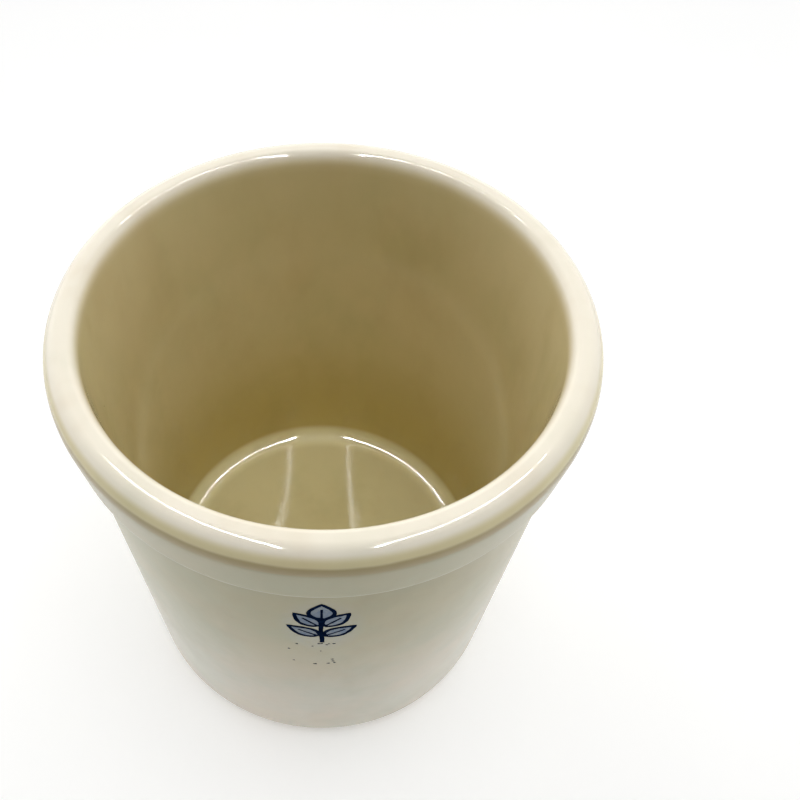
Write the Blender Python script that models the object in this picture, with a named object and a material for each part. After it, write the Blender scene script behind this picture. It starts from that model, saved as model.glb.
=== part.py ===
"""One-gallon stoneware crock: a turned, glazed pot with a banded rim, and a sprig printed on its front.

Metres, +Z up. The origin is the middle of the underside, and +Z is the crock's axis.
The printed sprig faces -Y.
"""

import math

import bmesh
import bpy

# Driving dimensions.
INCH = 0.0254
HEIGHT = 8.5 * INCH
OUTSIDE_RADIUS = 7.75 * INCH / 2
MOUTH_RADIUS = 7.0 * INCH / 2

# Rim: a flat crest, rounded inwards to the bore and outwards to the band.
BORE_RADIUS = 0.0856
INNER_ROUND_DROP = 0.0060
CREST_OUTER_RADIUS = 0.0912
OUTER_ROUND_DROP = 0.0098

# Band under the rounded rim: it tapers in a little, and steps in to the body.
BAND_FOOT_RADIUS = 0.0972
BAND_FOOT_HEIGHT = 0.1878
BAND_EDGE_ROUND = 0.0010

# Body, from the step below the band down to the rounded base corner.
BODY_TOP_RADIUS = 0.0940
BODY_FOOT_RADIUS = 0.0946
BASE_CORNER_ROUND = 0.0110

# Inside: the wall thickens downwards, and a fillet joins it to the floor.
FLOOR_HEIGHT = 0.0195
FLOOR_WALL_RADIUS = 0.0842
FLOOR_FILLET = 0.0075

# Underside: a flat foot ring around a shallow recess.
FOOT_INNER_RADIUS = 0.0710
RECESS_SLOPE = 0.0030
RECESS_DEPTH = 0.0030

SEGMENTS = 72
ROUND_STEPS = 6
SMOOTH_BELOW_DEGREES = 35

# Printed sprig: a thin skin, standing just off the body. Across is measured round the body, up from its centre.
PRINT_GAP = 0.0003
PRINT_THICKNESS = 0.0003
PRINT_CENTRE_HEIGHT = 0.1577
STEM_WIDTH = 0.0011
STEM_FOOT = -0.0185
SIDE_LEAVES = ((-0.0115, 52), (-0.0020, 38))
SIDE_LEAF_SIZE = (0.0148, 0.0070)
TOP_LEAF_FOOT = 0.0045
TOP_LEAF_SIZE = (0.0140, 0.0086)
LEAF_STEPS = 8
LEAF_NECK = 0.05
LEAF_FULLNESS = 0.8
PRINT_CUTS = 4
PRINT_CUT_SPACING = 0.0027

STONEWARE_GLAZE = (0.72, 0.68, 0.55)
COBALT = (0.012, 0.030, 0.075)


def clear_scene():
    for obj in list(bpy.data.objects):
        bpy.data.objects.remove(obj, do_unlink=True)


def material(name, colour, roughness):
    made = bpy.data.materials.new(name)
    made.use_nodes = True
    shader = made.node_tree.nodes["Principled BSDF"]
    shader.inputs["Base Color"].default_value = (*colour, 1.0)
    shader.inputs["Roughness"].default_value = roughness
    shader.inputs["Metallic"].default_value = 0.0
    return made


def add_object(name, shape, surface):
    mesh = bpy.data.meshes.new(name)
    bmesh.ops.recalc_face_normals(shape, faces=shape.faces)
    shape.to_mesh(mesh)
    shape.free()
    mesh.materials.append(surface)
    mesh.shade_smooth()
    mesh.set_sharp_from_angle(angle=math.radians(SMOOTH_BELOW_DEGREES))
    made = bpy.data.objects.new(name, mesh)
    bpy.context.scene.collection.objects.link(made)
    return made


def elliptic_arc(centre, radius, height, start, end, steps=ROUND_STEPS):
    """Points (r, z) on an ellipse, from one angle to another, in degrees from the outward direction."""
    points = []
    for step in range(steps + 1):
        angle = math.radians(start + (end - start) * step / steps)
        r = centre[0] + radius * math.cos(angle)
        z = centre[1] + height * math.sin(angle)
        points.append((r, z))
    return points


def crock_profile():
    """The half section as (r, z), from the middle of the floor, over the rim, to the middle of the underside."""
    points = []
    fillet_centre = (FLOOR_WALL_RADIUS - FLOOR_FILLET, FLOOR_HEIGHT + FLOOR_FILLET)
    points += elliptic_arc(fillet_centre, FLOOR_FILLET, FLOOR_FILLET, -90, 0)
    inner_centre = (MOUTH_RADIUS, HEIGHT - INNER_ROUND_DROP)
    points += elliptic_arc(inner_centre, MOUTH_RADIUS - BORE_RADIUS, INNER_ROUND_DROP, 180, 90)
    outer_centre = (CREST_OUTER_RADIUS, HEIGHT - OUTER_ROUND_DROP)
    outer_width = OUTSIDE_RADIUS - CREST_OUTER_RADIUS
    points += elliptic_arc(outer_centre, outer_width, OUTER_ROUND_DROP, 90, 0, ROUND_STEPS + 2)
    edge_centre = (BAND_FOOT_RADIUS - BAND_EDGE_ROUND, BAND_FOOT_HEIGHT + BAND_EDGE_ROUND)
    points += elliptic_arc(edge_centre, BAND_EDGE_ROUND, BAND_EDGE_ROUND, 0, -90, 2)
    points.append((BODY_TOP_RADIUS, BAND_FOOT_HEIGHT - BAND_EDGE_ROUND))
    corner_centre = (BODY_FOOT_RADIUS - BASE_CORNER_ROUND, BASE_CORNER_ROUND)
    points += elliptic_arc(corner_centre, BASE_CORNER_ROUND, BASE_CORNER_ROUND, 0, -90)
    points.append((FOOT_INNER_RADIUS, 0.0))
    points.append((FOOT_INNER_RADIUS - RECESS_SLOPE, RECESS_DEPTH))
    return points


def turned(profile):
    """Turns an open profile around Z, and closes it with a disc at each end."""
    shape = bmesh.new()
    rings = []
    for r, z in profile:
        ring = []
        for step in range(SEGMENTS):
            angle = 2 * math.pi * step / SEGMENTS
            ring.append(shape.verts.new((r * math.cos(angle), r * math.sin(angle), z)))
        rings.append(ring)
    for upper, lower in zip(rings, rings[1:]):
        for step in range(SEGMENTS):
            after = (step + 1) % SEGMENTS
            shape.faces.new((upper[step], upper[after], lower[after], lower[step]))
    for ring in (rings[0], rings[-1]):
        shape.faces.new(ring)
    return shape


def leaf_outline(base, length, width, lean):
    """Points (across, up) around a pointed leaf, from the right of its base to its tip and back on the left.

    It leans from straight up towards +across, by an angle in degrees.
    """
    along = (math.sin(math.radians(lean)), math.cos(math.radians(lean)))
    sideways = (along[1], -along[0])
    right, left = [], []
    for step in range(LEAF_STEPS):
        share = LEAF_NECK + (1 - LEAF_NECK) * step / LEAF_STEPS
        half = width / 2 * math.sin(math.pi * share ** LEAF_FULLNESS)
        spine = (base[0] + along[0] * length * share, base[1] + along[1] * length * share)
        right.append((spine[0] + sideways[0] * half, spine[1] + sideways[1] * half))
        left.append((spine[0] - sideways[0] * half, spine[1] - sideways[1] * half))
    tip = (base[0] + along[0] * length, base[1] + along[1] * length)
    return right + [tip] + left[::-1]


def sprig_outline():
    """One closed outline: up the right side of the stem and its leaves, around the top leaf, and down the left."""
    right_side = [(STEM_WIDTH / 2, STEM_FOOT)]
    for up, lean in SIDE_LEAVES:
        right_side += leaf_outline((STEM_WIDTH / 2, up), *SIDE_LEAF_SIZE, lean)
    left_side = [(-across, up) for across, up in reversed(right_side)]
    return right_side + leaf_outline((0.0, TOP_LEAF_FOOT), *TOP_LEAF_SIZE, 0) + left_side


def wrap_on_body(shape):
    """Bends a flat shape around the body: X runs across, Z up from the print's centre, and -Y is its thickness."""
    for vert in shape.verts:
        height = PRINT_CENTRE_HEIGHT + vert.co.z
        share = height / BAND_FOOT_HEIGHT
        wall = BODY_FOOT_RADIUS + (BODY_TOP_RADIUS - BODY_FOOT_RADIUS) * share
        radius = wall + PRINT_GAP - vert.co.y
        angle = vert.co.x / wall
        vert.co = (radius * math.sin(angle), -radius * math.cos(angle), height)


def printed_sprig():
    shape = bmesh.new()
    front = shape.faces.new([shape.verts.new((x, -PRINT_THICKNESS, z)) for x, z in sprig_outline()])
    back = bmesh.ops.extrude_face_region(shape, geom=[front], use_keep_orig=True)
    moved = [item for item in back["geom"] if isinstance(item, bmesh.types.BMVert)]
    bmesh.ops.translate(shape, verts=moved, vec=(0, PRINT_THICKNESS, 0))
    bmesh.ops.recalc_face_normals(shape, faces=shape.faces)
    bmesh.ops.triangulate(shape, faces=shape.faces, ngon_method="EAR_CLIP")
    for cut in range(-PRINT_CUTS, PRINT_CUTS + 1):
        everything = shape.verts[:] + shape.edges[:] + shape.faces[:]
        where = cut * PRINT_CUT_SPACING
        bmesh.ops.bisect_plane(shape, geom=everything, plane_co=(where, 0, 0), plane_no=(1, 0, 0))
    wrap_on_body(shape)
    return shape


clear_scene()
add_object("crock", turned(crock_profile()), material("glazed_stoneware", STONEWARE_GLAZE, 0.15))
add_object("printed_sprig", printed_sprig(), material("cobalt_underglaze", COBALT, 0.2))
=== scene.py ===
"""The stoneware crock's looks: the turned and glazed pot, the blue sprig on it, and a pale studio."""

import math
import random

import bmesh
import bpy
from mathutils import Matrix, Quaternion, Vector, noise
from mathutils.bvhtree import BVHTree


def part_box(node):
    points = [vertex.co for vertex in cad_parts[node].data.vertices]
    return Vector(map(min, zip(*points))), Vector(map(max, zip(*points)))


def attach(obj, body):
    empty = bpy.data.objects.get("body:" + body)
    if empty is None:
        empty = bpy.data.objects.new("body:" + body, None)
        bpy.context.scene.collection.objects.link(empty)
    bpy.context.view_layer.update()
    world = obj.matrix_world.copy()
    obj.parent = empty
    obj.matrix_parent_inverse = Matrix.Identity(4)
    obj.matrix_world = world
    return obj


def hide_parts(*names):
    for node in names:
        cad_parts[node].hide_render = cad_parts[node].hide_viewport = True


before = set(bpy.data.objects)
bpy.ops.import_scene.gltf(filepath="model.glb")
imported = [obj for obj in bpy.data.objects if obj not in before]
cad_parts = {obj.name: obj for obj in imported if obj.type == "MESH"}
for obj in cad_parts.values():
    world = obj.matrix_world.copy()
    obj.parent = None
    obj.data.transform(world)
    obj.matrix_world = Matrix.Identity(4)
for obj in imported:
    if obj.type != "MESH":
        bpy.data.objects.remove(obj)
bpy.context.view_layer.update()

CROCK_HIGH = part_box("crock")[1]
PRINT_LOW, PRINT_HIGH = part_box("printed_sprig")

MM = 0.001

# The crock's outline. The height and the outside radius are the frame's. The surface strays from its true
# shape by the play, either way, so the outside radius leaves room for it.
HEIGHT = CROCK_HIGH.z
SURFACE_PLAY = 0.08 * MM
OUTSIDE_RADIUS = CROCK_HIGH.x - SURFACE_PLAY
MOUTH_RADIUS = 88.9 * MM
BORE_RADIUS = 85.6 * MM
INNER_ROUND_DROP = 6.0 * MM
CREST_OUTER_RADIUS = 91.2 * MM
OUTER_ROUND_DROP = 9.8 * MM
BAND_FOOT_RADIUS = 97.1 * MM
BAND_FOOT_HEIGHT = 187.8 * MM
BAND_EDGE_ROUND = 1.0 * MM
BODY_TOP_RADIUS = 94.0 * MM
BODY_FOOT_RADIUS = 94.6 * MM
STEP_FILLET = 1.0 * MM
BASE_CORNER_ROUND = 11.0 * MM
FLOOR_HEIGHT = 19.5 * MM
FLOOR_WALL_RADIUS = 84.2 * MM
FLOOR_FILLET = 7.5 * MM
FOOT_INNER_RADIUS = 71.0 * MM
RECESS_SLOPE = 3.0 * MM
RECESS_DEPTH = 3.0 * MM
MIDDLE_RING_RADIUS = 6.0 * MM

SEGMENTS = 288
LONGEST_SPAN = 2.0 * MM

# The unevenness of a thrown pot: fine rings and broad lumps. It stops short of the crest and the foot, which
# stay where the frame has them.
RING_GRAIN_ACROSS = 9
RING_GRAIN_UP = 110
RING_SHARE = 0.15
LUMP_GRAIN = 30
LUMP_SHARE = 0.8
UNEVEN_HEIGHTS = (RECESS_DEPTH + 0.1 * MM, HEIGHT - 1.0 * MM)

# The printed sprig, where the frame has it. Its points are (across, up): across is measured round the wall,
# and up from the middle of the print.
PRINT_CENTRE_HEIGHT = (PRINT_LOW.z + PRINT_HIGH.z) / 2
PRINT_HALF_HEIGHT = (PRINT_HIGH.z - PRINT_LOW.z) / 2
OUTLINE_WIDTH = 1.5 * MM
STEM_WIDTH = 1.7 * MM
RIB_WIDTH = 0.85 * MM
STEM_WOBBLE = 0.25 * MM
STEM_WOBBLE_LENGTH = 3.5 * MM
STEM_STEPS = 24
STROKE_WAVER = 0.22
SIDE_LEAVES = ((-11.5 * MM, 52), (-2.0 * MM, 38))      # how far up the stem, and the lean in degrees
SIDE_LEAF_SIZE = (14.8 * MM, 8.6 * MM)
TOP_LEAF_FOOT = 4.5 * MM
TOP_LEAF_WIDTH = 10.4 * MM
LEAF_STEPS = 18
LEAF_FILL_STEPS = 8
LEAF_NECK = 0.04
LEAF_FULLNESS = 0.8

# How far the print's skins stand out of the wall, and how far they reach into it.
INK_PROUD = 0.05 * MM
WASH_PROUD = 0.02 * MM
PATCH_RISE = 0.003 * MM
PRINT_SUNK = 0.10 * MM

SPATTER_SEED = 11
SPATTER_DOTS = 15
SPATTER_SPREAD = 8      # standard deviation round the wall, in mm
SPATTER_FALL = 24       # furthest below the print, in mm
DOT_CORNERS = 8


# ---------------------------------------------------------------- meshes

def elliptic_arc(centre, radius, height, start, end, steps):
    """Points (r, z) on an ellipse, from one angle to another, in degrees from the outward direction."""
    points = []
    for step in range(steps + 1):
        angle = math.radians(start + (end - start) * step / steps)
        points.append((centre[0] + radius * math.cos(angle), centre[1] + height * math.sin(angle)))
    return points


def crock_outline():
    """The half section as (r, z), from the middle of the floor, over the rim, to the middle of the base."""
    points = [(MIDDLE_RING_RADIUS, FLOOR_HEIGHT)]
    fillet_centre = (FLOOR_WALL_RADIUS - FLOOR_FILLET, FLOOR_HEIGHT + FLOOR_FILLET)
    points += elliptic_arc(fillet_centre, FLOOR_FILLET, FLOOR_FILLET, -90, 0, 14)
    inner_centre = (MOUTH_RADIUS, HEIGHT - INNER_ROUND_DROP)
    points += elliptic_arc(inner_centre, MOUTH_RADIUS - BORE_RADIUS, INNER_ROUND_DROP, 180, 90, 14)
    outer_centre = (CREST_OUTER_RADIUS, HEIGHT - OUTER_ROUND_DROP)
    points += elliptic_arc(outer_centre, OUTSIDE_RADIUS - CREST_OUTER_RADIUS, OUTER_ROUND_DROP, 90, 0, 22)
    edge_centre = (BAND_FOOT_RADIUS - BAND_EDGE_ROUND, BAND_FOOT_HEIGHT + BAND_EDGE_ROUND)
    points += elliptic_arc(edge_centre, BAND_EDGE_ROUND, BAND_EDGE_ROUND, 0, -90, 6)
    step_centre = (BODY_TOP_RADIUS + STEP_FILLET, BAND_FOOT_HEIGHT - STEP_FILLET)
    points += elliptic_arc(step_centre, STEP_FILLET, STEP_FILLET, 90, 180, 5)
    corner_centre = (BODY_FOOT_RADIUS - BASE_CORNER_ROUND, BASE_CORNER_ROUND)
    points += elliptic_arc(corner_centre, BASE_CORNER_ROUND, BASE_CORNER_ROUND, 0, -90, 12)
    points.append((FOOT_INNER_RADIUS, 0.0))
    points.append((FOOT_INNER_RADIUS - RECESS_SLOPE, RECESS_DEPTH))
    points.append((MIDDLE_RING_RADIUS, RECESS_DEPTH))
    return points


def with_short_spans(points, longest):
    """The same outline, with points added so that no straight span is longer than this."""
    made = [points[0]]
    for (r0, z0), (r1, z1) in zip(points, points[1:]):
        pieces = max(1, math.ceil(math.hypot(r1 - r0, z1 - z0) / longest))
        for i in range(1, pieces + 1):
            made.append((r0 + (r1 - r0) * i / pieces, z0 + (z1 - z0) * i / pieces))
    return made


def hand_of_the_potter(point):
    """How far the surface stands off its true shape at a point, at most SURFACE_PLAY either way."""
    across = RING_GRAIN_ACROSS
    rings = noise.noise(Vector((point.x * across, point.y * across, point.z * RING_GRAIN_UP)))
    lumps = noise.noise(point * LUMP_GRAIN)
    return SURFACE_PLAY * max(-1.0, min(1.0, RING_SHARE * rings + LUMP_SHARE * lumps))


def turned(name, outline):
    """A closed turned mesh, with the small unevenness of a thrown and fired surface."""
    shape = bmesh.new()
    rings = []
    for r, z in outline:
        ring = []
        for step in range(SEGMENTS):
            angle = 2 * math.pi * step / SEGMENTS
            ring.append(shape.verts.new((r * math.cos(angle), r * math.sin(angle), z)))
        rings.append(ring)
    for upper, lower in zip(rings, rings[1:]):
        for step in range(SEGMENTS):
            after = (step + 1) % SEGMENTS
            shape.faces.new((upper[step], upper[after], lower[after], lower[step]))
    for ring in (rings[0], rings[-1]):
        z = ring[0].co.z
        middle = shape.verts.new((0, 0, z))
        for step in range(SEGMENTS):
            shape.faces.new((ring[step], ring[(step + 1) % SEGMENTS], middle))
    bmesh.ops.recalc_face_normals(shape, faces=shape.faces)
    shape.normal_update()
    lowest, highest = UNEVEN_HEIGHTS
    for vert in shape.verts:
        if lowest < vert.co.z < highest:
            vert.co += vert.normal * hand_of_the_potter(vert.co)
    mesh = bpy.data.meshes.new(name)
    shape.to_mesh(mesh)
    shape.free()
    mesh.shade_smooth()
    made = bpy.data.objects.new(name, mesh)
    bpy.context.scene.collection.objects.link(made)
    return made


def leaf_curves(base, length, width, lean, side=1):
    """A leaf's right edge, left edge and spine, as points (across, up). Its lean is in degrees."""
    along = Vector((side * math.sin(math.radians(lean)), math.cos(math.radians(lean))))
    sideways = Vector((along.y, -along.x))
    right, left, spine = [], [], []
    for step in range(LEAF_STEPS + 1):
        share = LEAF_NECK + (1 - LEAF_NECK) * step / LEAF_STEPS
        half = (width - OUTLINE_WIDTH) / 2 * math.sin(math.pi * share ** LEAF_FULLNESS)
        middle = Vector(base) + along * (length - OUTLINE_WIDTH * 0.6) * share
        spine.append(middle)
        right.append(middle + sideways * half)
        left.append(middle - sideways * half)
    return right, left, spine


def stroke(points, width, closed=False):
    """The quads of a pen stroke along some points; its width wavers a little, as a stamped line does."""
    count = len(points)
    edges = []
    for i, point in enumerate(points):
        before = points[(i - 1) % count] if closed or i > 0 else point
        after = points[(i + 1) % count] if closed or i < count - 1 else point
        run = (after - before).normalized()
        waver = 1 + STROKE_WAVER * noise.noise(Vector((point.x * 700, point.y * 700, width * 9000)))
        across = Vector((run.y, -run.x)) * width / 2 * waver
        edges.append((point + across, point, point - across))
    quads = []
    for i in range(count if closed else count - 1):
        here, there = edges[i], edges[(i + 1) % count]
        quads.append((here[0], there[0], there[1], here[1]))
        quads.append((here[1], there[1], there[2], here[2]))
    return quads


def filled_leaf(right, left):
    """The quads that fill a leaf between its two edges."""
    quads = []
    for i in range(len(right) - 1):
        for j in range(LEAF_FILL_STEPS):
            low, high = j / LEAF_FILL_STEPS, (j + 1) / LEAF_FILL_STEPS
            quads.append((
                right[i].lerp(left[i], low), right[i + 1].lerp(left[i + 1], low),
                right[i + 1].lerp(left[i + 1], high), right[i].lerp(left[i], high),
            ))
    return quads


def dot(centre, radius, stretch, turn):
    """The quads of a small uneven dot."""
    corners = []
    for step in range(DOT_CORNERS):
        angle = 2 * math.pi * step / DOT_CORNERS
        reach = radius * (1 + 0.25 * math.sin(3 * angle + turn))
        corners.append(centre + Vector((reach * math.cos(angle) * stretch, reach * math.sin(angle))))
    return [(corners[0], *corners[i:i + 3]) for i in range(1, DOT_CORNERS - 2, 2)]


def skins(name, patches, proud, wall):
    """Thin closed skins on the wall.

    Each patch is a list of flat quads, which is wrapped round the wall and given thickness. It stands a hair
    higher than the patch before, so that no two faces lie in one place.
    """
    everything = bmesh.new()
    for index, quads in enumerate(patches):
        shape = bmesh.new()
        for quad in quads:
            shape.faces.new([shape.verts.new((corner.x, 0, corner.y)) for corner in quad])
        bmesh.ops.remove_doubles(shape, verts=shape.verts, dist=0.002 * MM)
        back = bmesh.ops.extrude_face_region(shape, geom=shape.faces[:], use_keep_orig=True)
        sunk = {item for item in back["geom"] if isinstance(item, bmesh.types.BMVert)}
        for vert in shape.verts:
            height = PRINT_CENTRE_HEIGHT + vert.co.z
            angle = vert.co.x / BODY_TOP_RADIUS
            outwards = Vector((math.sin(angle), -math.cos(angle), 0))
            start = outwards * OUTSIDE_RADIUS * 1.2
            start.z = height
            surface = wall.ray_cast(start, -outwards)[0]
            stand = -PRINT_SUNK if vert in sunk else proud + index * PATCH_RISE
            vert.co = surface + outwards * stand
        bmesh.ops.recalc_face_normals(shape, faces=shape.faces)
        part = bpy.data.meshes.new("patch")
        shape.to_mesh(part)
        shape.free()
        everything.from_mesh(part)
        bpy.data.meshes.remove(part)
    mesh = bpy.data.meshes.new(name)
    everything.to_mesh(mesh)
    everything.free()
    made = bpy.data.objects.new(name, mesh)
    bpy.context.scene.collection.objects.link(made)
    return made


def sprig_leaves():
    """The curves of the two pairs of side leaves and of the top leaf."""
    leaves = []
    for side in (1, -1):
        for up, lean in SIDE_LEAVES:
            leaves.append(leaf_curves((side * STEM_WIDTH / 2, up), *SIDE_LEAF_SIZE, lean, side))
    top_length = PRINT_HALF_HEIGHT - TOP_LEAF_FOOT
    leaves.append(leaf_curves((0, TOP_LEAF_FOOT), top_length, TOP_LEAF_WIDTH, 0))
    return leaves


def sprig_lines(leaves):
    """The stem, and each leaf's outline and middle rib."""
    stem = []
    for step in range(STEM_STEPS + 1):
        up = -PRINT_HALF_HEIGHT + (PRINT_HALF_HEIGHT + TOP_LEAF_FOOT) * step / STEM_STEPS
        stem.append(Vector((STEM_WOBBLE * math.sin(up / STEM_WOBBLE_LENGTH), up)))
    lines = [stroke(stem, STEM_WIDTH)]
    for right, left, spine in leaves:
        lines.append(stroke(right + left[-2:0:-1], OUTLINE_WIDTH, closed=True))
        lines.append(stroke(spine[1:LEAF_STEPS * 3 // 4], RIB_WIDTH))
    return lines


def spatter():
    """Dots of cobalt below the print, closer together near it."""
    pick = random.Random(SPATTER_SEED)
    dots = []
    for _ in range(SPATTER_DOTS):
        across = pick.gauss(-1, SPATTER_SPREAD) * MM
        below = (1 + SPATTER_FALL * pick.random() ** 1.6) * MM
        radius = (0.24 + 0.24 * pick.random()) * MM
        stretch = 1 + 0.6 * pick.random()
        turn = 6 * pick.random()
        dots.append(dot(Vector((across, -PRINT_HALF_HEIGHT - below)), radius, stretch, turn))
    return dots


# ---------------------------------------------------------------- materials

class Graph:
    """A material's nodes, with short calls that add one and join it up."""

    def __init__(self, name):
        self.material = bpy.data.materials.new(name)
        self.material.use_nodes = True
        self.tree = self.material.node_tree
        self.shader = self.tree.nodes["Principled BSDF"]

    def add(self, kind, inputs=(), **settings):
        made = self.tree.nodes.new(kind)
        for key, value in settings.items():
            setattr(made, key, value)
        for key, value in dict(inputs).items():
            self.set(made.inputs[key], value)
        return made

    def set(self, socket, value):
        if isinstance(value, bpy.types.NodeSocket):
            self.tree.links.new(value, socket)
        else:
            socket.default_value = value

    def shade(self, values):
        for key, value in values.items():
            self.set(self.shader.inputs[key], value)

    def math(self, operation, a, b=0.0, c=0.0):
        return self.add("ShaderNodeMath", {0: a, 1: b, 2: c}, operation=operation).outputs[0]

    def step(self, value, low, high, to_low=0.0, to_high=1.0):
        inputs = {"Value": value, "From Min": low, "From Max": high, "To Min": to_low, "To Max": to_high}
        return self.add("ShaderNodeMapRange", inputs, interpolation_type="SMOOTHSTEP").outputs[0]

    def noise(self, where, scale, detail=2.0, roughness=0.5):
        inputs = {"Vector": where, "Scale": scale, "Detail": detail, "Roughness": roughness}
        return self.add("ShaderNodeTexNoise", inputs).outputs[0]

    def mix(self, factor, a, b, blend="MIX"):
        made = self.add("ShaderNodeMix", data_type="RGBA", blend_type=blend)
        for index, value in ((0, factor), (6, a), (7, b)):
            self.set(made.inputs[index], value)
        return made.outputs[2]

    def bump(self, height, distance, strength=1.0, normal=None):
        inputs = {"Height": height, "Distance": distance, "Strength": strength}
        if normal is not None:
            inputs["Normal"] = normal
        return self.add("ShaderNodeBump", inputs).outputs[0]


def rgb(red, green, blue):
    return (red, green, blue, 1.0)


INSIDE_GLAZE = rgb(0.75, 0.64, 0.37)
INSIDE_THICK = rgb(0.71, 0.62, 0.35)
# Painted shade deep inside the pot.
INSIDE_PAINTED_SHADE = rgb(0.59, 0.475, 0.17)
INSIDE_FLOOR = rgb(0.69, 0.62, 0.345)
# Painted light on the floor's fillet.
INSIDE_FILLET_PAINTED_LIGHT = rgb(0.86, 0.80, 0.50)
# Painted highlight: the crest's colour, paler and whiter than the rest of the rim.
RIM_CREST_PAINTED_HIGHLIGHT = rgb(0.98, 0.915, 0.765)
RIM_FACE = rgb(0.84, 0.75, 0.46)
# Partly the glaze thinning at its edge, partly painted shade under the rim's round.
GLAZE_SEAM_AND_SHADE = rgb(0.52, 0.425, 0.22)
# Painted highlight along the band's lower edge.
BAND_EDGE = rgb(0.82, 0.80, 0.62)
WARM_CAST = rgb(0.80, 0.70, 0.58)
COOL_CAST = rgb(0.62, 0.70, 0.58)
# Painted shade: the white glaze is darker and warmer at the top of the body than at the foot.
WHITE_TOP_PAINTED_SHADE = rgb(0.49, 0.425, 0.215)
WHITE_TOP_PAINTED_SHADE_COOL = rgb(0.445, 0.43, 0.23)
WHITE_FOOT = rgb(0.70, 0.615, 0.475)
WHITE_FOOT_COOL = rgb(0.625, 0.605, 0.485)
COBALT_TINT = rgb(0.38, 0.45, 0.52)
BARE_CLAY = rgb(0.50, 0.41, 0.30)
DARK_CLAY = rgb(0.36, 0.28, 0.20)
SPECK = rgb(0.16, 0.10, 0.05)
FULL_SHINE = rgb(1.0, 1.0, 1.0)
RIM_SHINE_INSIDE = rgb(0.60, 0.60, 0.60)
RIM_SHINE_OUTSIDE = rgb(0.33, 0.33, 0.33)
INK = rgb(0.002, 0.007, 0.026)
INK_THIN = rgb(0.006, 0.019, 0.060)
WASH = rgb(0.27, 0.34, 0.46)
WASH_THIN = rgb(0.45, 0.49, 0.50)


# Where the glaze changes. A pair says where a change starts and where it is complete.
GLAZE_LINE_HEIGHT = 206.9 * MM
GLAZE_LINE_WANDER = 0.9 * MM
GLAZE_LINE_BLUR = (-0.25 * MM, 0.25 * MM)
INSIDE_RADII = (90.5 * MM, 89.5 * MM)
# Lower down the inside wall the cream is painted darker and more saturated: painted shade deep in the pot.
DEEP_HEIGHTS = (130 * MM, 45 * MM)
FLOOR_RADII = (84.0 * MM, 78.0 * MM)
FLOOR_HEIGHTS = (40 * MM, 28 * MM)
# On the floor's fillet the cream is painted paler: painted light on the curve between wall and floor.
FILLET_HEIGHTS = (29 * MM, 23 * MM)
FILLET_RADII = (72 * MM, 79 * MM)
# The top of the rim is painted paler and whiter, a painted highlight.
CREST_HEIGHTS = (HEIGHT - 9 * MM, HEIGHT - 2.5 * MM)
CREST_RADII = (BORE_RADIUS - 0.6 * MM, BORE_RADIUS + 1.2 * MM)
RIM_FACE_RADII = (94.9 * MM, 96.9 * MM)
# Just above the glaze line the cream is darker: partly the glaze thinning at its edge, partly painted shade
# under the rim's round.
SEAM_HEIGHTS = (4.2 * MM, 2.8 * MM)      # above the glaze line
SEAM_RADII = (94.0 * MM, 96.5 * MM)
# Painted shade: the white glaze is painted darker and warmer towards the top of the body and lighter towards
# the foot.
WHITE_HEIGHTS = (40 * MM, 170 * MM)
# A painted highlight: a pale line along the lower edge of the band, where light catches its round.
BAND_EDGE_OFFSETS = (0.9 * MM, 0.3 * MM)
BELOW_RIM_HEIGHTS = (HEIGHT - 3 * MM, HEIGHT - 10 * MM)
RIM_SHINE_RADII = (88 * MM, 92 * MM)
WIPED_HEIGHT = 1.2 * MM
WIPED_WANDER = 1.6 * MM
WIPED_BLUR = (0.5 * MM, 0.0)

# The blue that bled into the white glaze: an oval round a point a little below the middle of the print.
BLEED_CENTRE_HEIGHT = PRINT_CENTRE_HEIGHT - 3 * MM
BLEED_HALF_WIDTH = 17 * MM
BLEED_HALF_HEIGHT = PRINT_HALF_HEIGHT * 1.5
BLEED_STRENGTH = 0.45
FRONT_DEPTHS = (0.0, -50 * MM)

# How fine each pattern in the glaze is, as the scale of its noise.
GLAZE_LINE_GRAIN = 60
MOTTLE_GRAIN = 22
BLEED_GRAIN = 300
WARM_GRAIN = 34
COOL_GRAIN = 27
WIPED_GRAIN = 90
CLAY_GRAIN = 900
SPECK_GRAIN = 75
SPECK_GROUP_GRAIN = 40
ROUGHNESS_GRAIN = 55
SWELL_GRAIN = 150
RIPPLE_GRAIN = 480
INK_GRAIN = 420

BAND_EDGE_HIGHLIGHT_STRENGTH = 0.8
WARM_STRENGTH = 0.22
COOL_STRENGTH = 0.20
CAST_STRETCH = (1.0, 1.0, 0.55)      # taller than wide
SPECK_SIZES = (0.026, 0.014)         # outer and inner radius, as a share of the speck's cell
SPECK_STRENGTH = 0.8

RIM_ROUGHNESS = 0.03
INSIDE_ROUGHNESS = 0.04
WHITE_ROUGHNESS = 0.22
CLAY_ROUGHNESS = 0.85
ROUGHNESS_PLAY = 0.04
SWELL_HEIGHT = 0.06 * MM
SWELL_ON_RIM = 0.15      # as a share of the swell below it
RIPPLE_HEIGHT = 0.010 * MM
RIPPLE_ON_RIM = 0.35     # as a share of the ripple below it
PIT_DEPTH = 0.12 * MM
GLAZE_IOR = 1.55


def object_place(g):
    """A point's place on the object, and the same as its x, y and z."""
    place = g.add("ShaderNodeTexCoord").outputs["Object"]
    return place, g.add("ShaderNodeSeparateXYZ", {0: place}).outputs


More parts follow.
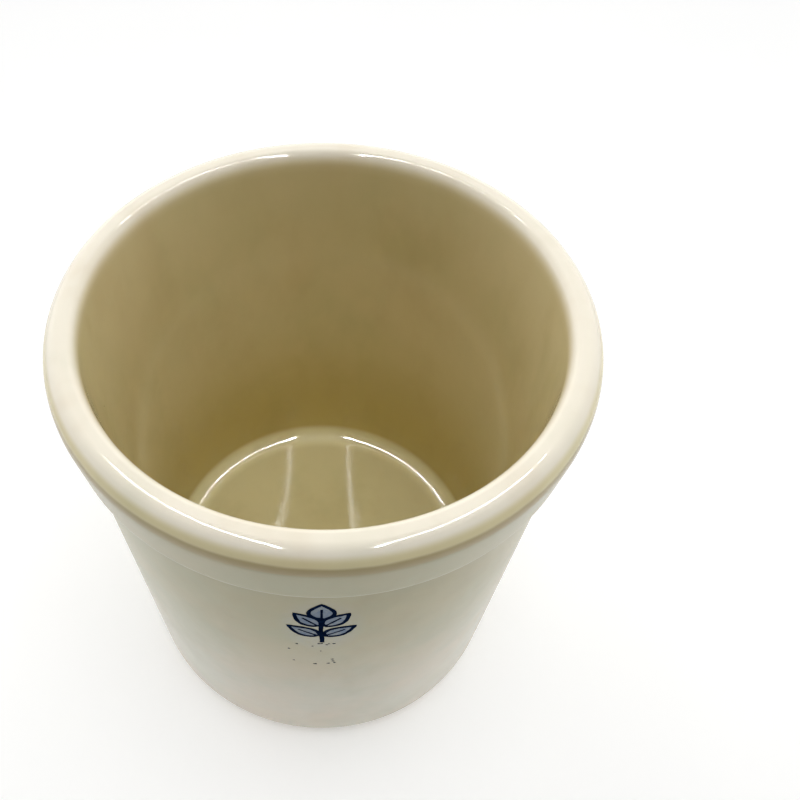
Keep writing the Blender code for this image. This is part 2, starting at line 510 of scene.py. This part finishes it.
def cream_glaze(g, mottle, radius, height, above_line):
    """Pale over the crest and on the floor's fillet, both painted light; darker lower down the wall, painted
    shade; and darker just above where it meets the white glaze, partly the glaze thinning there and partly
    painted shade.
    """
    cream = g.mix(mottle, INSIDE_GLAZE, INSIDE_THICK)
    # Painted shade: darker lower down the inside wall.
    cream = g.mix(g.step(height, *DEEP_HEIGHTS), cream, INSIDE_PAINTED_SHADE)
    on_floor = g.math("MULTIPLY", g.step(radius, *FLOOR_RADII), g.step(height, *FLOOR_HEIGHTS))
    cream = g.mix(on_floor, cream, INSIDE_FLOOR)
    # Painted light: paler on the floor's fillet.
    on_fillet = g.math("MULTIPLY", g.step(height, *FILLET_HEIGHTS), g.step(radius, *FILLET_RADII))
    cream = g.mix(on_fillet, cream, INSIDE_FILLET_PAINTED_LIGHT)
    # Painted highlight over the crest.
    over_crest = g.math("MULTIPLY", g.step(height, *CREST_HEIGHTS), g.step(radius, *CREST_RADII))
    cream = g.mix(over_crest, cream, RIM_CREST_PAINTED_HIGHLIGHT)
    cream = g.mix(g.step(radius, *RIM_FACE_RADII), cream, RIM_FACE)
    # A darker band above the glaze line: partly the glaze thinning, partly painted shade.
    seam_and_shade = g.math("MULTIPLY", g.step(above_line, *SEAM_HEIGHTS), g.step(radius, *SEAM_RADII))
    return g.mix(seam_and_shade, cream, GLAZE_SEAM_AND_SHADE)


def white_glaze(g, mottle, place, xyz):
    """Painted shade that makes it darker and warm towards the top and pale at the foot, a painted highlight
    line on the band's edge, and blue round the print.
    """
    thin_ink_and_shaded_white = g.mix(mottle, WHITE_TOP_PAINTED_SHADE, WHITE_TOP_PAINTED_SHADE_COOL)
    thick_ink_and_white_foot = g.mix(mottle, WHITE_FOOT, WHITE_FOOT_COOL)
    # Painted shade: darker towards the top, lighter towards the foot.
    white = g.mix(g.step(xyz[2], *WHITE_HEIGHTS), thick_ink_and_white_foot, thin_ink_and_shaded_white)
    # Painted highlight: a pale line on the band's edge.
    edge_offset = g.math("ABSOLUTE", g.math("SUBTRACT", xyz[2], BAND_FOOT_HEIGHT + 0.5 * MM))
    on_edge_highlight = g.math("MULTIPLY", g.step(edge_offset, *BAND_EDGE_OFFSETS), BAND_EDGE_HIGHLIGHT_STRENGTH)
    white = g.mix(on_edge_highlight, white, BAND_EDGE)

    # The blue is on the front only, and broken up by noise.
    across = g.math("DIVIDE", xyz[0], BLEED_HALF_WIDTH)
    up = g.math("DIVIDE", g.math("SUBTRACT", xyz[2], BLEED_CENTRE_HEIGHT), BLEED_HALF_HEIGHT)
    off_centre = g.math("MULTIPLY_ADD", across, across, g.math("MULTIPLY", up, up))
    front = g.step(xyz[1], *FRONT_DEPTHS)
    broken = g.math("MULTIPLY", front, g.noise(place, BLEED_GRAIN, 3, 0.6))
    bleed = g.math("MULTIPLY", g.step(off_centre, 1.0, 0.1), broken)
    return g.mix(g.math("MULTIPLY", bleed, BLEED_STRENGTH), white, COBALT_TINT)


def with_casts(g, colour, place):
    """The colour with a drift to a warm and to a greenish cast, in patches a few centimetres across."""
    runs = g.add("ShaderNodeVectorMath", {0: place, 1: CAST_STRETCH}, operation="MULTIPLY").outputs[0]
    warm = g.step(g.noise(runs, WARM_GRAIN, 3, 0.6), 0.45, 0.75, 0.0, WARM_STRENGTH)
    cool = g.step(g.noise(runs, COOL_GRAIN, 3, 0.6), 0.48, 0.75, 0.0, COOL_STRENGTH)
    return g.mix(cool, g.mix(warm, colour, WARM_CAST, "MULTIPLY"), COOL_CAST, "MULTIPLY")


def glaze_material():
    """The whole pot: cream glaze inside and over the rim, white glaze outside, bare clay under the foot."""
    g = Graph("glazed_stoneware")
    place, xyz = object_place(g)
    radius = g.math("SQRT", g.math("MULTIPLY_ADD", xyz[0], xyz[0], g.math("MULTIPLY", xyz[1], xyz[1])))
    height = xyz[2]

    # The edge of the cream glaze wanders a little, close to the rim's widest line.
    line_noise = g.noise(place, GLAZE_LINE_GRAIN)
    wander = g.math("MULTIPLY_ADD", line_noise, GLAZE_LINE_WANDER, -GLAZE_LINE_WANDER / 2)
    above_line = g.math("SUBTRACT", height, g.math("ADD", wander, GLAZE_LINE_HEIGHT))
    cream_share = g.math("MAXIMUM", g.step(above_line, *GLAZE_LINE_BLUR), g.step(radius, *INSIDE_RADII))
    mottle = g.step(g.noise(place, MOTTLE_GRAIN, 4, 0.55), 0.30, 0.70)
    cream = cream_glaze(g, mottle, radius, height, above_line)
    white = white_glaze(g, mottle, place, xyz)
    colour = with_casts(g, g.mix(cream_share, white, cream), place)

    # Bare clay under the foot, with a wandering edge.
    wiped = g.math("MULTIPLY_ADD", g.noise(place, WIPED_GRAIN), WIPED_WANDER, WIPED_HEIGHT)
    bare = g.step(g.math("SUBTRACT", height, wiped), *WIPED_BLUR)
    clay = g.mix(g.step(g.noise(place, CLAY_GRAIN, 4, 0.7), 0.40, 0.65), BARE_CLAY, DARK_CLAY)
    colour = g.mix(bare, colour, clay)

    # Iron specks and pinholes, in groups.
    cells = g.add("ShaderNodeTexVoronoi", {"Vector": place, "Scale": SPECK_GRAIN})
    chosen = g.step(g.noise(place, SPECK_GROUP_GRAIN, 0), 0.60, 0.64)
    speck = g.math("MULTIPLY", g.step(cells.outputs["Distance"], *SPECK_SIZES), chosen)
    colour = g.mix(g.math("MULTIPLY", speck, SPECK_STRENGTH), colour, SPECK)

    # Glossy inside and over the rim, satin outside, matt on the clay.
    below_rim = g.step(height, *BELOW_RIM_HEIGHTS)
    cream_rough = g.step(below_rim, 0.0, 1.0, RIM_ROUGHNESS, INSIDE_ROUGHNESS)
    rough = g.step(cream_share, 0.0, 1.0, WHITE_ROUGHNESS, cream_rough)
    rough = g.math("MULTIPLY_ADD", g.noise(place, ROUGHNESS_GRAIN, 3), ROUGHNESS_PLAY, rough)
    rough = g.step(bare, 0.0, 1.0, rough, CLAY_ROUGHNESS)

    # The surface swells and ripples slightly, and less over the rim. The specks are pits.
    swell_strength = g.step(below_rim, 0.0, 1.0, SWELL_ON_RIM, 1.0)
    swell = g.bump(g.noise(place, SWELL_GRAIN, 2, 0.5), SWELL_HEIGHT, swell_strength)
    ripple_strength = g.step(below_rim, 0.0, 1.0, RIPPLE_ON_RIM, 1.0)
    ripple = g.bump(g.noise(place, RIPPLE_GRAIN, 2, 0.5), RIPPLE_HEIGHT, ripple_strength, swell)
    pits = g.bump(speck, -PIT_DEPTH, 1.0, ripple)
    g.shade({"Base Color": colour, "Roughness": rough, "IOR": GLAZE_IOR, "Normal": pits})

    # The rim shines less than the rest, on its outer round most of all.
    on_rim = g.math("MULTIPLY", cream_share, g.math("SUBTRACT", 1.0, below_rim))
    rim_shine = g.mix(g.step(radius, *RIM_SHINE_RADII), RIM_SHINE_INSIDE, RIM_SHINE_OUTSIDE)
    g.shade({"Specular Tint": g.mix(on_rim, FULL_SHINE, rim_shine)})
    return g.material


def print_material(name, thick_ink_and_white_foot, thin_ink_and_shaded_white):
    """Cobalt that is uneven in strength. It has no shine, so that the dark ink doesn't look grey."""
    g = Graph(name)
    place = g.add("ShaderNodeTexCoord").outputs["Object"]
    patchy = g.step(g.noise(place, INK_GRAIN, 4, 0.65), 0.38, 0.72)
    rough = g.math("MULTIPLY_ADD", g.noise(place, ROUGHNESS_GRAIN, 3), 0.08, 0.42)
    ripple = g.bump(g.noise(place, RIPPLE_GRAIN, 2, 0.5), RIPPLE_HEIGHT)
    g.shade({"Base Color": g.mix(patchy, thick_ink_and_white_foot, thin_ink_and_shaded_white), "Roughness": rough, "Normal": ripple})
    g.shade({"Specular IOR Level": 0.0})
    return g.material


# ---------------------------------------------------------------- studio

# The floor, with its own glow in front of the crock and behind it.
FLOOR_SIZE = 12
FRONT_GLOW = 0.03
BACK_GLOW = 0.24

# Broad lobes of soft light, each as (direction, how narrow, strength).
SKY_LOBES = (
    ((0, 1, 0), 2, 1.0),
    ((-1, 0.5, 0.3), 4, 1.66),
    ((1, 0.5, 0.3), 4, 1.10),
    ((0, -1, 0), 2, 0.13),
    ((1, -1, 0.8), 4, 0.3),
    ((0, 0, 1), 2, 0.37),
)

# Long lights over the crock, each as (name, near end, far end, width, radiance). They show only as glints:
# inside, the near ones make the streaks on the floor, and the far ones make the arcs on its fillet.
STRIPS = (
    ("strip_left_near", (-0.24, -0.78), (-0.24, -0.42), 0.025, 430),
    ("strip_left_far", (-0.24, -0.42), (-0.50, 0.50), 0.05, 120),
    ("strip_right_near", (0.30, -0.78), (0.30, -0.42), 0.025, 430),
    ("strip_right_far", (0.30, -0.42), (0.58, 0.50), 0.05, 95),
)
STRIP_HEIGHT = 1.25
OVERHEAD_PLACE = (0.15, 0, STRIP_HEIGHT + 0.1)
OVERHEAD_SIZE = (0.6, 0.6)
OVERHEAD_POWER = 3.85

# The camera, with its angles in degrees.
CAMERA_DOWN = 57.91
CAMERA_ROLL = 0.35
CAMERA_DISTANCE = 352.0 * MM
CAMERA_LENS = 33.63
CAMERA_SHIFT = (0.0969, 0.0887)


def floor_material():
    """Pale paper, darker and with less glow in front of the crock than behind it."""
    g = Graph("pale_floor")
    place, xyz = object_place(g)
    lit = g.step(xyz[1], -0.60, -0.15)
    paper = g.mix(g.noise(place, 6, 3), rgb(0.86, 0.86, 0.855), rgb(0.89, 0.89, 0.885))
    shade = g.mix(lit, rgb(0.30, 0.30, 0.30), paper)
    g.shade({"Base Color": shade, "Roughness": 0.7, "Emission Color": rgb(1.0, 1.0, 1.0)})
    g.shade({"Emission Strength": g.step(xyz[1], -0.45, 0.0, FRONT_GLOW, BACK_GLOW)})
    return g.material


def area_light(name, where, size, power, turn=0.0, soft=True):
    """A rectangular light that faces straight down. It gives soft light with no glint, or only a glint."""
    data = bpy.data.lights.new(name, "AREA")
    data.shape = "RECTANGLE"
    data.size, data.size_y = size
    data.energy = power
    made = bpy.data.objects.new(name, data)
    made.location = where
    made.rotation_euler.z = turn
    made.visible_diffuse = soft
    made.visible_glossy = not soft
    bpy.context.scene.collection.objects.link(made)


def studio_world():
    """A world that is as bright in each direction as the lobes make it."""
    world = bpy.data.worlds.new("studio")
    world.use_nodes = True
    bpy.context.scene.world = world
    tree = world.node_tree

    def node(kind, operation, a, b):
        made = tree.nodes.new(kind)
        made.operation = operation
        for socket, value in zip(made.inputs, (a, b)):
            if isinstance(value, bpy.types.NodeSocket):
                tree.links.new(value, socket)
            else:
                socket.default_value = value
        return made.outputs["Value"]

    outwards = tree.nodes.new("ShaderNodeTexCoord").outputs["Generated"]
    total = 0.0
    for direction, narrowness, strength in SKY_LOBES:
        facing = node("ShaderNodeVectorMath", "DOT_PRODUCT", outwards, Vector(direction).normalized())
        facing = node("ShaderNodeMath", "MAXIMUM", facing, 0.0)
        lobe = node("ShaderNodeMath", "POWER", facing, narrowness)
        total = node("ShaderNodeMath", "ADD", total, node("ShaderNodeMath", "MULTIPLY", lobe, strength))
    background = tree.nodes["Background"]
    tree.links.new(total, background.inputs["Strength"])
    background.inputs["Color"].default_value = (1.0, 1.0, 1.0, 1.0)


def studio():
    """The pale floor and all the lights."""
    bpy.ops.mesh.primitive_plane_add(size=FLOOR_SIZE, location=(0, 0, 0))
    floor = bpy.context.object
    floor.name = "floor"
    floor.data.materials.append(floor_material())
    studio_world()
    for name, near_end, far_end, width, glow in STRIPS:
        run = Vector(far_end) - Vector(near_end)
        middle = (Vector(near_end) + run / 2).to_3d() + Vector((0, 0, STRIP_HEIGHT))
        power = glow * math.pi * width * run.length
        area_light(name, middle, (width, run.length), power, math.atan2(-run.x, run.y), soft=False)
    area_light("overhead", OVERHEAD_PLACE, OVERHEAD_SIZE, OVERHEAD_POWER)


def camera():
    """The camera looks steeply down at the middle of the crock from the front."""
    data = bpy.data.cameras.new("camera")
    made = bpy.data.objects.new("camera", data)
    bpy.context.scene.collection.objects.link(made)
    down = math.radians(CAMERA_DOWN)
    towards = Vector((0, math.cos(down), -math.sin(down)))
    made.location = Vector((0, 0, HEIGHT / 2)) - towards * CAMERA_DISTANCE
    made.rotation_mode = "QUATERNION"
    roll = Quaternion((0, 0, 1), math.radians(CAMERA_ROLL))
    made.rotation_quaternion = towards.to_track_quat("-Z", "Y") @ roll
    data.sensor_width = 36.0
    data.lens = CAMERA_LENS
    data.shift_x, data.shift_y = CAMERA_SHIFT
    data.clip_start = 0.01
    bpy.context.scene.camera = made


# ---------------------------------------------------------------- the scene

def add_to_frame(piece, node, surface):
    """Give a piece its surface, tell the frame which body it rides on, and hide the frame's node that it
    stands for.
    """
    piece.data.materials.append(surface)
    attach(piece, "root")
    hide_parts(node)


camera()
studio()

crock = turned("crock_glazed", with_short_spans(crock_outline(), LONGEST_SPAN))
add_to_frame(crock, "crock", glaze_material())

wall = BVHTree.FromPolygons([v.co for v in crock.data.vertices], [p.vertices for p in crock.data.polygons])
leaves = sprig_leaves()
ink = print_material("cobalt_ink", INK, INK_THIN)
wash = print_material("cobalt_wash", WASH, WASH_THIN)
fills = [filled_leaf(right, left) for right, left, spine in leaves]
for name, patches, proud, surface in (
    ("sprig_wash", fills, WASH_PROUD, wash),
    ("sprig_lines", sprig_lines(leaves), INK_PROUD, ink),
    ("cobalt_spatter", spatter(), INK_PROUD, ink),
):
    add_to_frame(skins(name, patches, proud, wall), "printed_sprig", surface)

bpy.context.scene.view_settings.view_transform = "Standard"
